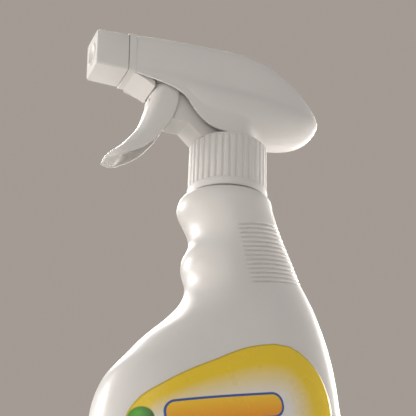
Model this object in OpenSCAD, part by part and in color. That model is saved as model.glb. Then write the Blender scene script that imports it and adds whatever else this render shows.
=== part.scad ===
// Trigger spray bottle for degreaser: a blown bottle with labels and a 28 mm pump sprayer.
// Frame: +Z up, origin on the standing plane under the neck's axis, nozzle towards -X, front label towards -Y.

/* [Bottle] */
// Height of the collar's lower edge above the base
collar_z = 195; // [185:1:215]
// Reach of the body in front of the neck's axis
body_front = 53; // [50:0.5:58]
// Reach of the body behind the neck's axis
body_rear = 50.5; // [48:0.5:56]
// Depth of the body from label to label
body_d = 58; // [54:1:64]
// Wall of the blown bottle
bottle_wall = 1.1; // [0.9:0.1:1.6]
// Outer radius of the neck
neck_r = 12.5; // [12.2:0.1:12.8]
// Wall of the neck
neck_wall = 1.9; // [1.5:0.1:2.3]
// Height of the lip above the collar's lower edge
lip_h = 19.2; // [18:0.2:20]
// Radius where the side turns into the base
base_round = 7; // [5:0.5:10]
// Number of grooves in the rear grip
grip_count = 14; // [8:1:15]
// Distance from one grip groove to the next
grip_pitch = 1.84; // [1.5:0.02:2]
// Depth of a grip groove
groove_depth = 0.55; // [0.3:0.05:0.8]
// Rise of a grip groove towards the rear, in mm per mm
grip_tilt = 0.21; // [0:0.01:0.24]

/* [Labels] */
// Height of the label's lowest point above the base
label_low = 22; // [18:1:40]
// Thickness of a label
label_t = 0.3; // [0.2:0.05:0.4]

/* [Collar] */
// Outer radius of the collar over its lower band
collar_r = 17.2; // [17:0.1:18]
// Height of the collar
collar_h = 24.1; // [23.5:0.1:26]
// Height of the smooth band at the collar's foot
band_h = 3.5; // [2.5:0.5:5]
// Number of grip ribs round the collar
rib_count = 36; // [24:2:48]
// Thickness of the collar's top plate
collar_top_t = 1.8; // [1.4:0.1:2]

/* [Pump] */
// Height of the pump cylinder's axis above the collar's lower edge
pump_h = 36.4; // [36:0.1:37]
// Bore radius of the pump cylinder
pump_bore_r = 5.3; // [5:0.1:5.4]
// Wall of the pump cylinder
pump_wall = 1.2; // [1.1:0.1:1.4]
// Distance of the cylinder's open end from the neck's axis
pump_reach = 30; // [29:0.5:31]
// Depth of the cylinder's bore
pump_depth = 17; // [16:0.5:18]
// Radius of the outlet barrel
barrel_r = 4.4; // [4:0.1:4.6]
// Bore radius of the outlet barrel
barrel_bore_r = 2; // [1.6:0.1:2.2]
// Outer radius of the dip tube
tube_r = 2.9; // [2.6:0.1:3.1]
// Wall of the dip tube
tube_wall = 0.7; // [0.5:0.1:0.9]
// Clearance of the dip tube's end above the bottle's floor
tube_lift = 4; // [3:0.5:8]
// Radius of the inlet ball
ball_r = 2; // [1.9:0.1:2.2]
// Lift of the inlet ball off its seat
ball_lift = 1.2; // [0.8:0.1:1.4]
// Wire diameter of the return spring
wire_d = 0.8; // [0.6:0.1:0.9]
// Mean radius of the return spring
coil_r = 3.5; // [3.3:0.1:3.6]
// Number of coils in the return spring
coils = 6; // [5:0.5:7]

/* [Trigger] */
// Width of the trigger
trigger_w = 16.4; // [15:0.2:16.6]
// Wall of the trigger
trigger_wall = 1.3; // [1.2:0.1:1.6]
// Distance of the hinge in front of the neck's axis
hinge_reach = 34; // [33.5:0.1:34.5]
// Height of the hinge above the collar's lower edge
hinge_h = 55; // [54.6:0.1:55.4]
// Radius of the hinge pins
pin_r = 1.6; // [1.4:0.1:1.8]

/* [Head] */
// Wall of the shroud
shroud_wall = 1; // [0.8:0.05:1.1]
// Top of the shroud above the collar's lower edge
head_h = 71.5; // [71:0.1:73]
// Reach of the shroud's tail behind the neck's axis
tail_reach = 44.5; // [42:0.5:50]
// Droop of the nozzle below level, in degrees
droop = 2.5; // [0:0.5:3]
// Distance of the nozzle flange's rear face from the neck's axis
flange_reach = 47.2; // [47:0.1:48]
// Height of the spray axis at the flange above the collar's lower edge
spray_h = 56.5; // [56.3:0.1:56.8]
// Thickness of the nozzle flange
flange_t = 3; // [2.5:0.1:3.5]
// Width of the nozzle cap at its rear
cap_w = 16.5; // [16:0.1:17]
// Height of the nozzle cap at its rear
cap_tall = 17.8; // [17:0.1:18]
// Length of the nozzle cap
cap_len = 13.8; // [13:0.1:15]
// Radius of the orifice in the nozzle cap
orifice_r = 0.5; // [0.3:0.1:0.8]

/* [Fits] */
// Gap between pieces that move past each other
gap = 0.3; // [0.25:0.01:0.35]
// Radial clearance of a running fit
run_fit = 0.05; // [0.03:0.01:0.08]

/* [Hidden] */

$fn = 64;
white = [0.93, 0.92, 0.90];
// Points round one ring of the bottle
ring_n = 40;
eps = 0.01;

// Smooth curve through keys [at, value]: slopes are harmonic means, so it never overshoots a key
function key_span(keys, t, i = 0) = i >= len(keys) - 2 || t < keys[i + 1][0] ? i : key_span(keys, t, i + 1);
function secant(keys, i) = (keys[i + 1][1] - keys[i][1]) / (keys[i + 1][0] - keys[i][0]);
function key_slope(keys, i) =
    i == 0 ? secant(keys, 0)
    : i == len(keys) - 1 ? secant(keys, i - 1)
    : let (a = secant(keys, i - 1), b = secant(keys, i)) a * b <= 0 ? 0 : 2 * a * b / (a + b);
function smooth(keys, t) =
    let (c = min(max(t, keys[0][0]), keys[len(keys) - 1][0]),
         i = key_span(keys, c),
         w = keys[i + 1][0] - keys[i][0],
         s = (c - keys[i][0]) / w)
    keys[i][1] * (1 + 2 * s) * (1 - s) * (1 - s) + key_slope(keys, i) * w * s * (1 - s) * (1 - s)
    + keys[i + 1][1] * s * s * (3 - 2 * s) + key_slope(keys, i + 1) * w * s * s * (s - 1);
function mix(a, b, s) = a + (b - a) * s;
function ease(a, b, t) = let (s = min(max((t - a) / (b - a), 0), 1)) s * s * (3 - 2 * s);

// Faces between closed rings of n points each
function grid_faces(rings, n) =
    [for (i = [0 : rings - 2], j = [0 : n - 1])
        let (a = i * n + j, b = i * n + (j + 1) % n)
        each [[a, a + n, b], [b, a + n, b + n]]];

// Bottle

// Reach of the outline below the collar: front has two finger dents, rear slopes out under the web of the hand
neck_foot = 0.5;
shoulder_drop = 7;
body_drop = 102;
dent = 14.7;
knuckle = 18.7;
shoulder_r = 21.2;
front_keys = [[neck_foot, 16.2], [1.3, 18.6], [3, 20.5], [shoulder_drop, shoulder_r], [12, 18.4], [17, 15.3],
              [22, dent], [27, 17.5], [33, knuckle], [39, dent + 1], [45, dent + 1.8],
              [51, mix(dent, body_front, 0.14)], [57, mix(dent, body_front, 0.28)],
              [64, mix(dent, body_front, 0.48)], [72, mix(dent, body_front, 0.655)],
              [82, mix(dent, body_front, 0.865)], [92, body_front - 1.9], [body_drop, body_front - 0.7],
              [body_drop + 40, body_front], [collar_z, body_front - 1.5]];
rear_keys = [[neck_foot, 15.4], [1.3, 17.3], [3, 18.7], [6, 19.1], [12, 21.5], [20, 25.4], [27, 29.2],
             [34, 32.3], [38, 34.4], [40.5, mix(shoulder_r, body_rear, 0.51)],
             [48, mix(shoulder_r, body_rear, 0.635)], [60, mix(shoulder_r, body_rear, 0.76)],
             [72, mix(shoulder_r, body_rear, 0.83)], [87, mix(shoulder_r, body_rear, 0.89)],
             [body_drop, body_rear - 0.8], [body_drop + 40, body_rear], [collar_z, body_rear - 1.5]];
side_keys = [[neck_foot, 15.8], [1.3, 18.1], [3, 20], [6, 20.8], [22, 20], [37, 20.6],
             [52, mix(20.6, body_d / 2, 0.29)], [67, mix(20.6, body_d / 2, 0.68)],
             [82, mix(20.6, body_d / 2, 0.92)], [97, body_d / 2], [body_drop + 40, body_d / 2],
             [collar_z, body_d / 2 - 1]];
// The section turns from round at the grip to squarer at the labels
function squareness(drop) = 2 + 0.5 * ease(40, 84, drop);
function base_inset(h) = h >= base_round ? 0 : base_round - sqrt(pow(base_round, 2) - pow(base_round - h, 2));

// Rear grip: grooves start on a line that slants back as it goes down
grip_top = 19.3;
function grip_start(drop) = -3.7 + 0.25 * (drop - grip_top);
function grip_depth(drop, x) = groove_depth * ease(0, 2.5, x - grip_start(drop));

// A point of the bottle's skin, moved outward by out, at an angle from the rear
function skin(h, angle, out = 0) =
    let (drop = collar_z - h,
         n = squareness(drop),
         c = cos(angle),
         s = sin(angle),
         inset = base_inset(h) - out,
         reach = (c > 0 ? smooth(rear_keys, drop) : smooth(front_keys, drop)) - inset,
         depth = smooth(side_keys, drop) - inset)
    [sign(c) * pow(abs(c), 2 / n) * reach, sign(s) * pow(abs(s), 2 / n) * depth, h];
// Half-depth of the skin at a height and a distance along X, for what lies on its side
function skin_y(h, x, out = 0) =
    let (drop = collar_z - h,
         n = squareness(drop),
         inset = base_inset(h) - out,
         reach = (x > 0 ? smooth(rear_keys, drop) : smooth(front_keys, drop)) - inset)
    (smooth(side_keys, drop) - inset) * pow(1 - pow(min(abs(x) / reach, 0.999), n), 1 / n);
function grooved(p, cut, h) =
    cut == 0 ? p
    : let (deep = cut * grip_depth(collar_z - h, p[0]), r = norm([p[0], p[1]]))
      [p[0] * (1 - deep / r), p[1] * (1 - deep / r), p[2]];

// Each ring of the outside is [height, cut], and cut is 1 at the bottom of a groove
groove_half = 0.32;
base_hs = [for (a = [0 : 15 : 90]) base_round * (1 - cos(a))];
low_hs = [for (d = [collar_z - 30, 138, 120, body_drop, 92, 86, 80, 75, 70, 65, 60, 56, 52, 48, 44.5])
    if (collar_z - d > base_round + 2) collar_z - d];
grip_hs = [for (k = [grip_count - 1 : -1 : 0], s = [groove_half, 0, -groove_half])
    [collar_z - grip_top - (k + s) * grip_pitch, s == 0 ? 1 : 0]];
top_hs = [for (d = [14, 11, 8.5, 6, 4.3, 3, 2.1, 1.3, 0.8, neck_foot]) collar_z - d];
outer_rings = concat([for (h = base_hs) [h, 0]], [for (h = low_hs) [h, 0]], grip_hs, [for (h = top_hs) [h, 0]]);
// The inside stays one wall in, and its floor is one wall up
inner_hs = concat([for (d = [1.9, 3, 5, 8.5, 12, 17, 22, 27.5, 33, 39, 45, 52, 60, 68, 76, 84, 92, body_drop])
    collar_z - d], [for (a = [90 : -22.5 : 0]) bottle_wall + (base_round - bottle_wall) * (1 - cos(a))]);
bore_r = neck_r - neck_wall;
// How far the tilt lifts a point of a ring: fully along the grip, and fading out above and below it
function grip_lift(h, x) =
    let (drop = collar_z - h)
    grip_tilt * max(x - grip_start(drop), 0) * ease(5, grip_top - 1, drop) * (1 - ease(47, 75, drop));
function bottle_ring(h, cut) =
    [for (j = [0 : ring_n - 1])
        let (angle = 360 * j / ring_n, lift = grip_lift(h, skin(h, angle)[0]))
        grooved(skin(h + lift, angle), cut, h)];
function hollow_ring(h) =
    let (low = h < base_round ? base_round - bottle_wall
             - sqrt(max(pow(base_round - bottle_wall, 2) - pow(base_round - h, 2), 0)) - base_inset(h) : 0)
    [for (j = [0 : ring_n - 1]) skin(h, 360 * j / ring_n, -bottle_wall - low)];
function round_ring(h, r) = [for (j = [0 : ring_n - 1]) [r * cos(360 * j / ring_n), r * sin(360 * j / ring_n), h]];

module bottle_shell() {
    rings = concat([for (r = outer_rings) bottle_ring(r[0], r[1])],
                   [round_ring(collar_z - neck_foot, bore_r + 0.6),
                    round_ring(collar_z - neck_foot - bottle_wall, bore_r + 0.6)],
                   [for (h = inner_hs) hollow_ring(h)]);
    n = len(rings);
    points = concat([for (r = rings) each r], [[0, 0, 0], [0, 0, bottle_wall]]);
    low = [for (j = [0 : ring_n - 1]) [n * ring_n, j, (j + 1) % ring_n]];
    floor_ = [for (j = [0 : ring_n - 1])
        [n * ring_n + 1, (n - 1) * ring_n + (j + 1) % ring_n, (n - 1) * ring_n + j]];
    polyhedron(points, concat(low, grid_faces(n, ring_n), floor_), convexity = 8);
}
module neck() {
    foot = collar_z - neck_foot - bottle_wall + 0.1;
    translate([0, 0, foot])
        rotate_extrude()
            translate([bore_r, 0])
                difference() {
                    square([neck_wall, collar_z + lip_h - foot]);
                    translate([neck_wall - 0.5, collar_z + lip_h - foot - 0.5])
                        square(1);
                }
}
module bottle() {
    color(white)
        union() {
            bottle_shell();
            neck();
        }
}

// Labels: a thin sheet on each broad side, with a wide rounded foot and a slanting crown
label_gap = 0.3;
label_rows = 22;
label_cols = 16;
label_mid = [[0, 0.5], [0.3, -3], [0.6, -4.2], [0.7, -3.9], [0.76, -2.5], [0.82, 1.4], [0.866, 4.5], [0.916, 8.1],
             [0.965, 10.5], [1, 13]];
label_half = [[0, 27], [0.05, 33], [0.13, 38], [0.3, 41.4], [0.6, 41.5], [0.7, 40.7], [0.76, 38.5], [0.82, 33.8],
              [0.866, 28.8], [0.916, 21.9], [0.965, 14], [0.985, 9], [1, 3.5]];
label_drop = 68.6;
label_top = collar_z - label_drop;
function label_h(i) = mix(label_low, label_top, i / label_rows);
function label_x(i, j) =
    smooth(label_mid, i / label_rows) + smooth(label_half, i / label_rows) * (2 * j / label_cols - 1);
function label_point(i, j, out) = [label_x(i, j), -skin_y(label_h(i), label_x(i, j), out), label_h(i)];
module label_sheet() {
    // Rows of points over the outer face, then the same rows over the face against the bottle
    row = label_cols + 1;
    count = (label_rows + 1) * row;
    points = [for (out = [label_gap + label_t, label_gap], i = [0 : label_rows], j = [0 : label_cols])
        label_point(i, j, out)];
    quads = [for (i = [0 : label_rows - 1], j = [0 : label_cols - 1]) [i * row + j, i * row + j + 1]];
    outside = [for (q = quads) each [[q[0], q[0] + row, q[1]], [q[1], q[0] + row, q[1] + row]]];
    inside = [for (f = outside) [f[0] + count, f[2] + count, f[1] + count]];
    edge = concat([for (j = [0 : label_cols]) j],
                  [for (i = [1 : label_rows]) i * row + label_cols],
                  [for (j = [label_cols - 1 : -1 : 0]) label_rows * row + j],
                  [for (i = [label_rows - 1 : -1 : 1]) i * row]);
    sides = [for (k = [0 : len(edge) - 1])
        let (a = edge[k], b = edge[(k + 1) % len(edge)])
        each [[a, b, a + count], [b, b + count, a + count]]];
    polyhedron(points, concat(outside, inside, sides), convexity = 4);
}
module front_label() {
    color([0.98, 0.86, 0.25])
        label_sheet();
}
module back_label() {
    color([0.96, 0.95, 0.90])
        mirror([0, 1, 0])
            label_sheet();
}

// Collar: a ribbed screw cap, open at the top for the pump's spigot
spigot_r = 8.9;
collar_in_r = 14.2;
rib_r = collar_r - 0.3;
groove_r = 0.55;
module collar() {
    color(white)
        translate([0, 0, collar_z])
            difference() {
                rotate_extrude()
                    polygon([[0, 0.4], [collar_in_r, 0.4], [collar_in_r, 0], [collar_r - 0.3, 0], [collar_r, 0.3],
                             [collar_r, band_h - 0.3], [collar_r - 0.3, band_h], [rib_r, collar_h - 0.9],
                             [rib_r - 0.25, collar_h - 0.25], [rib_r - 0.9, collar_h], [0, collar_h]]);
                translate([0, 0, -1])
                    cylinder(r = collar_in_r, h = collar_h - collar_top_t + 1);
                cylinder(r = spigot_r + gap, h = collar_h + 1);
                for (k = [0 : rib_count - 1])
                    rotate(360 * (k + 0.5) / rib_count)
                        translate([rib_r + 0.1, 0, band_h])
                            cylinder(r = groove_r, h = collar_h);
            }
}

// Closure: gasket on the lip, the retainer on the gasket, and the pump body's spigot round the retainer
gasket_t = 1.2;
retainer_t = 1.5;
retainer_r = 13.2;
plug_r = 6.6;
retainer_z = collar_z + lip_h + gasket_t;
module gasket() {
    color([0.85, 0.86, 0.88])
        translate([0, 0, collar_z + lip_h])
            difference() {
                cylinder(r = retainer_r, h = gasket_t);
                translate([0, 0, -1])
                    cylinder(r = bore_r - 1.4, h = gasket_t + 2);
            }
}

// Inlet: the retainer grips the dip tube below and holds the ball's seat above
seat_z = retainer_z + 1;
cage_r = ball_r + 0.6;
cage_top = seat_z + 2 * ball_r + ball_lift + 0.8;
socket_l = 7;
module tube_retainer() {
    color([0.90, 0.90, 0.88])
        difference() {
            union() {
                translate([0, 0, retainer_z])
                    cylinder(r = retainer_r, h = retainer_t);
                translate([0, 0, retainer_z])
                    cylinder(r = plug_r, h = cage_top - retainer_z);
                translate([0, 0, retainer_z - socket_l])
                    cylinder(r = tube_r + 1.2, h = socket_l + 1);
            }
            // Ball cage, seat and tube socket
            translate([0, 0, seat_z])
                cylinder(r = cage_r, h = cage_top);
            translate([0, 0, retainer_z - socket_l - 1])
                cylinder(r = ball_r - 0.8, h = socket_l + 5);
            translate([0, 0, retainer_z - socket_l - 1])
                cylinder(r = tube_r + eps, h = socket_l + 1);
        }
}
tube_top = retainer_z;
module dip_tube() {
    low = bottle_wall + tube_lift;
    color([0.95, 0.96, 0.96])
        translate([0, 0, low])
            difference() {
                cylinder(r = tube_r, h = tube_top - low);
                translate([0, 0, -1])
                    cylinder(r = tube_r - tube_wall, h = tube_top - low + 2);
                // Slanted cut at the foot, so the tube can't seal against the floor
                rotate([0, 25, 0])
                    translate([-20, -20, -20])
                        cube([40, 40, 20]);
            }
}
module inlet_ball() {
    seat_drop = sqrt(pow(ball_r, 2) - pow(ball_r - 0.8, 2));
    color([0.75, 0.77, 0.80])
        translate([0, 0, seat_z + seat_drop])
            sphere(r = ball_r);
}

// Pump body: spigot and bell over the collar, pump cylinder, riser, outlet barrel, nose and flange
pump_r = pump_bore_r + pump_wall;
bell_r = 15.2;
bell_edge = 0.8;
bell_slope = [2.6, 1.7];
hub_r = 7.5;
hub_low = 2.3;
hub_h = 8;
bell_z = collar_z + collar_h + gap;
riser_r = 5;
pump_z = collar_z + pump_h;
pump_back = pump_reach - pump_depth;
spray_z = collar_z + spray_h;
nose_l = 7.5;
nose_r = 5;
boss_half = 6.2;
bar_half = 2.2;
panel_w = trigger_w - 0.6;
nose_bore_r = 3.4;
valve_at = 0.5;
gusset_reach = 21.5;
gusset_run = 4.5;
plate_top = 46;
plate_setback = 2.5;
plate_reach = pump_reach - plate_setback;
plate_cut = 3.2;
housing_back = 6;
// Frame of the spray: z runs forward along the spray axis from the flange's rear face
module spray_frame() {
    translate([-flange_reach, 0, spray_z])
        rotate([0, -90 - droop, 0])
            children();
}
// A rounded square plate across the spray axis, w across and tall up, with its corners rounded
module spray_plate(w, tall, r, h) {
    linear_extrude(h)
        offset(r)
            square([tall - 2 * r, w - 2 * r], center = true);
}
panel_t = 2.4;
web_t = 2;
panel_drop = 13.9;
panel_back = hinge_reach + 3.7;
panel_run = flange_reach - panel_back;
panel_keys = [[0, 9.7], [0.32, 10.8], [0.63, 12.1], [1, panel_drop]];
function panel_line(lift, from, to) =
    [for (s = [0 : 0.2 : 1])
        let (t = mix(from, to, s)) [-flange_reach + t * panel_run, spray_h - smooth(panel_keys, t) + lift]];
module across(w) {
    translate([0, w / 2, collar_z])
        rotate([90, 0, 0])
            linear_extrude(w)
                children();
}
module nose_panel() {
    across(panel_w)
        polygon(concat(panel_line(0, 0, 1), panel_line(panel_t, 1, 0)));
    // Rib from the panel up to the barrel
    across(web_t)
        polygon(concat(panel_line(panel_t / 2, 0, 1),
                       [[-panel_back, spray_h - panel_drop + 3], [-panel_back - 4, spray_h - 2],
                        [-flange_reach, spray_h - 2]]));
}
// Webs hold the barrel over the cylinder, with the hinge pins on a bar across it
module pump_webs() {
    translate([-hinge_reach - bar_half, -boss_half, collar_z + hinge_h - bar_half])
        cube([2 * bar_half, 2 * boss_half, 2 * bar_half]);
    translate([-hinge_reach - bar_half, -web_t / 2, min(spray_z, collar_z + hinge_h)])
        cube([2 * bar_half, web_t, abs(spray_h - hinge_h)]);
    translate([-pump_reach, -web_t / 2, pump_z])
        cube([pump_reach - 2, web_t, spray_z - pump_z]);
}
// Housing of the cylinder: flat flanks and sole, side plates above, and a gusset down to the bell
module pump_housing() {
    sole_h = pump_h - pump_r;
    foot_h = collar_h + gap + 0.2;
    difference() {
        across(2 * pump_r)
            polygon([[-pump_reach, pump_h], [-pump_reach, sole_h], [-gusset_reach, sole_h],
                     [-gusset_reach + gusset_run, foot_h + 1.3], [-bell_r, foot_h], [-housing_back, foot_h],
                     [-housing_back, plate_top], [-plate_reach + plate_cut, plate_top],
                     [-plate_reach, plate_top - plate_cut], [-plate_reach, pump_h]]);
        across(2 * pump_bore_r)
            translate([-plate_reach - 1, pump_h + pump_r + gap])
                square([plate_reach + 1, plate_top]);
    }
}
module pump_body() {
    color([0.92, 0.91, 0.89])
        difference() {
            union() {
                // Spigot through the collar, bell above it, riser
                translate([0, 0, retainer_z + retainer_t + gap])
                    cylinder(r = spigot_r, h = bell_z - retainer_z);
                translate([0, 0, bell_z])
                    rotate_extrude()
                        polygon([[0, 0], [bell_r, 0], [bell_r, bell_edge],
                                 [bell_r - bell_slope[0], bell_slope[1]], [hub_r, hub_low],
                                 [hub_r, hub_h], [0, hub_h]]);
                translate([0, 0, bell_z])
                    cylinder(r = riser_r, h = spray_z + 2 - bell_z);
                // Pump cylinder in its housing
                translate([-pump_reach, 0, pump_z])
                    rotate([0, 90, 0])
                        cylinder(r = pump_r, h = pump_reach);
                pump_housing();
                // Barrel, flange and nose
                spray_frame() {
                    translate([0, 0, -flange_reach])
                        cylinder(r = barrel_r, h = flange_reach + 1);
                    spray_plate(cap_w + 1.4, cap_tall + 1.5, 2, flange_t);
                    cylinder(r = nose_r, h = flange_t + nose_l);
                }
                nose_panel();
                pump_webs();
                for (side = [-1, 1])
                    translate([-hinge_reach, side * (boss_half - 0.5), collar_z + hinge_h])
                        rotate([-side * 90, 0, 0])
                            cylinder(r = pin_r, h = trigger_w / 2 - boss_half + 0.5);
            }
            // Socket for the retainer's plug, inlet up to the cylinder, bore and riser
            translate([0, 0, retainer_z])
                cylinder(r = plug_r + run_fit, h = cage_top + gap - retainer_z);
            translate([0, 0, cage_top])
                cylinder(r = 1.5, h = spray_z - cage_top);
            translate([-pump_reach - 1, 0, pump_z])
                rotate([0, 90, 0])
                    cylinder(r = pump_bore_r, h = pump_depth + 1);
            translate([-pump_back - 1, 0, pump_z])
                rotate([0, 90, 0])
                    cylinder(r = 1.2, h = pump_back + 1);
            // Outlet bore, and the wider seat for the valve and the swirl insert
            spray_frame() {
                translate([0, 0, -flange_reach])
                    cylinder(r = barrel_bore_r, h = flange_reach + nose_l + flange_t + 1);
                translate([0, 0, valve_at])
                    cylinder(r = nose_bore_r, h = nose_l + flange_t - valve_at + 1);
            }
        }
}

// Piston: a domed push rod with a grooved head that carries the seal, and a socket for the spring
head_l = 6;
rod_r = 2.5;
dome_gap = gap;
pad_x = -hinge_reach - 2.3;
pad_l = 1.2;
pad_w = 6;
dome_x = pad_x + dome_gap;
head_x = -pump_reach + 1;
seal_w = 1.6;
seal_in_r = pump_bore_r - 1.3;
spring_seat = 2;
module along_pump(x) {
    translate([x, 0, pump_z])
        rotate([0, 90, 0])
            children();
}
module piston() {
    color([0.88, 0.90, 0.93])
        difference() {
            union() {
                along_pump(dome_x + rod_r)
                    sphere(r = rod_r);
                along_pump(dome_x + rod_r)
                    cylinder(r = rod_r, h = head_x - dome_x);
                along_pump(head_x)
                    cylinder(r = pump_bore_r - run_fit, h = head_l);
            }
            along_pump(head_x + 1.5)
                difference() {
                    cylinder(r = pump_bore_r + 1, h = seal_w + 0.1);
                    cylinder(r = seal_in_r, h = seal_w + 0.1);
                }
            along_pump(head_x + head_l - spring_seat)
                cylinder(r = coil_r + wire_d / 2 + 0.1, h = spring_seat + 1);
        }
}
module piston_seal() {
    color([0.20, 0.20, 0.22])
        along_pump(head_x + 1.55)
            difference() {
                cylinder(r = pump_bore_r - 0.02, h = seal_w);
                translate([0, 0, -1])
                    cylinder(r = seal_in_r + 0.02, h = seal_w + 2);
            }
}

// Return spring: wire swept round a helix from the piston's seat to the cylinder's end wall
wire_sides = 8;
coil_steps = 20;
function wire_ring(s, length) =
    let (turn = 360 * coils * s, c = [0, coil_r * cos(turn), coil_r * sin(turn)])
    [for (k = [0 : wire_sides - 1])
        let (a = 360 * k / wire_sides, r = wire_d / 2)
        [length * s + r * cos(a), c[1] + r * sin(a) * cos(turn), c[2] + r * sin(a) * sin(turn)]];
module return_spring() {
    start = head_x + head_l - spring_seat + wire_d / 2 + 0.05;
    length = -pump_back - wire_d / 2 - 0.05 - start;
    n = coils * coil_steps;
    points = [for (i = [0 : n]) each wire_ring(i / n, length)];
    ends = [[for (k = [0 : wire_sides - 1]) k], [for (k = [wire_sides - 1 : -1 : 0]) n * wire_sides + k]];
    color([0.75, 0.76, 0.78])
        translate([start, 0, pump_z])
            polyhedron(points, concat(grid_faces(n + 1, wire_sides), ends), convexity = 10);
}

// Outlet valve: a soft plug with a flap disc, in the barrel's seat behind the swirl insert
insert_at = valve_at + 3;
module outlet_valve() {
    color([0.55, 0.58, 0.62])
        spray_frame()
            translate([0, 0, valve_at + 0.05])
                difference() {
                    union() {
                        cylinder(r = nose_bore_r - 0.1, h = 0.8);
                        translate([0, 0, 0.8])
                            cylinder(r1 = 2.2, r2 = 1.1, h = 1.8);
                    }
                    translate([-0.1, -2, 0.5])
                        cube([0.2, 4, 3]);
                }
}
// Swirl insert: a fluted pin that spins the liquid in front of the cap's orifice
module swirl_insert() {
    color([0.80, 0.82, 0.85])
        spray_frame()
            translate([0, 0, insert_at])
                difference() {
                    union() {
                        cylinder(r = nose_bore_r - 0.05, h = 2);
                        cylinder(r = 2, h = flange_t + nose_l - insert_at);
                    }
                    for (k = [0 : 2])
                        rotate(120 * k)
                            translate([2.4, -0.4, -1])
                                cube([2, 0.8, 4]);
                }
}

// Nozzle cap: a square cap that tapers forward, turns on the nose and holds the orifice in a round recess
cap_gap = gap;
cap_front = 0.955;
recess_r = 3.9;
ring_r = 5;
cap_wall = 1.5;
cap_face = 3.2;
sleeve_t = 1.4;
chamber_r = 3;
funnel_r = 1.2;
funnel_l = 1.6;
module cap_skin() {
    r = 1.1;
    rear = [cap_tall - 2 * r, cap_w - 2 * r];
    hull() {
        for (end = [[0, 1], [cap_len - 0.8, cap_front + 0.005], [cap_len, cap_front - 0.04]])
            translate([0, 0, end[0]])
                linear_extrude(eps)
                    offset(r)
                        square(rear * end[1], center = true);
    }
}
module nozzle_cap() {
    color(white)
        spray_frame()
            translate([0, 0, flange_t + cap_gap])
                difference() {
                    union() {
                        difference() {
                            cap_skin();
                            // Square hollow behind the face, round a tube that runs on the nose
                            translate([0, 0, -1])
                                difference() {
                                    linear_extrude(cap_len - cap_face + 1)
                                        square([cap_tall - 2 * cap_wall, cap_w - 2 * cap_wall], center = true);
                                    cylinder(r = nose_r + sleeve_t, h = cap_len);
                                }
                        }
                        translate([0, 0, cap_len - 0.5])
                            difference() {
                                cylinder(r = ring_r, h = 0.8);
                                translate([0, 0, -1])
                                    cylinder(r = recess_r, h = 3);
                            }
                    }
                    translate([0, 0, -1])
                        cylinder(r = nose_r + run_fit, h = nose_l + 1);
                    cylinder(r = chamber_r, h = nose_l + 2 * cap_gap);
                    cylinder(r = orifice_r, h = cap_len + 1);
                    translate([0, 0, cap_len - funnel_l])
                        cylinder(r1 = funnel_r, r2 = recess_r, h = funnel_l + 0.1);
                }
}

// Trigger: a curved channel with two cheeks that reach up to the hinge pins, closed at the tip
// Each key is [height, distance behind the hinge]
front_line = [[5.1, -24.2], [6.8, -23.2], [8.8, -21.2], [11.5, -18], [14, -15.5], [17.4, -12.9], [20.6, -10.6],
              [24.5, -8.3], [28.5, -6.6], [33.7, -5.1], [39, -3.9], [44, -3]];
back_line = [[5.4, -21.8], [7.2, -17.6], [9.3, -13.6], [12, -9.2], [15.2, -5.2], [19.6, -1.4], [23.4, 1.2],
             [27.1, 3.4], [32, 5.4], [38, 6.8], [46, 6.6]];
function trace(keys, lo, hi, n) =
    [for (i = [0 : n]) let (h = mix(lo, hi, i / n)) [smooth(keys, h) - hinge_reach, h]];
tip_low = 5.4;
cheek_top = hinge_h - 2;
arm_r = 3.6;
tip_round = 6;
tip_x = -hinge_reach - 21.8;
tip_block = [8, 9];
web_past = 4;
front_t = trigger_wall + 0.4;
plan_l = 40;
web_top = 45;
cheek_turn = 46;
module cheek_outline() {
    polygon(concat(trace(front_line, tip_low, web_top - 1, 26),
                   [[-hinge_reach - arm_r, cheek_top], [-hinge_reach + arm_r, cheek_top]],
                   [for (p = trace(back_line, cheek_turn, tip_low, 26)) p]));
    translate([-hinge_reach, hinge_h])
        circle(r = arm_r);
}
module web_outline() {
    intersection() {
        cheek_outline();
        polygon(concat([for (p = trace(front_line, tip_low - web_past, web_top, 28)) [p[0] - web_past, p[1]]],
                       [for (p = trace(front_line, web_top, tip_low - web_past, 28)) [p[0] + front_t, p[1]]]));
    }
    intersection() {
        cheek_outline();
        translate([tip_x - web_past, 0])
            square(tip_block);
    }
}
// Plan of the trigger: straight sides and a round tip
module trigger_plan() {
    half = trigger_w / 2;
    linear_extrude(hinge_h + 2 * arm_r)
        union() {
            for (side = [-1, 1])
                translate([tip_x + tip_round, side * (half - tip_round)])
                    circle(r = tip_round);
            translate([tip_x, tip_round - half])
                square([plan_l, trigger_w - 2 * tip_round]);
            translate([tip_x + tip_round, -half])
                square([plan_l, trigger_w]);
        }
}
module trigger() {
    color(white)
        difference() {
            intersection() {
                trigger_blank();
                translate([0, 0, collar_z])
                    trigger_plan();
            }
            translate([-hinge_reach, trigger_w, collar_z + hinge_h])
                rotate([90, 0, 0])
                    cylinder(r = pin_r + run_fit, h = 2 * trigger_w);
        }
}
module trigger_blank() {
    for (side = [-1, 1])
        translate([0, side * (trigger_w - trigger_wall) / 2, 0])
            across(trigger_wall)
                cheek_outline();
    across(trigger_w)
        web_outline();
    // Pad that pushes the piston
    translate([pad_x - pad_l, -pad_w / 2, pump_z - pad_w / 2])
        cube([pad_l, pad_w, pad_w]);
}

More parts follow.
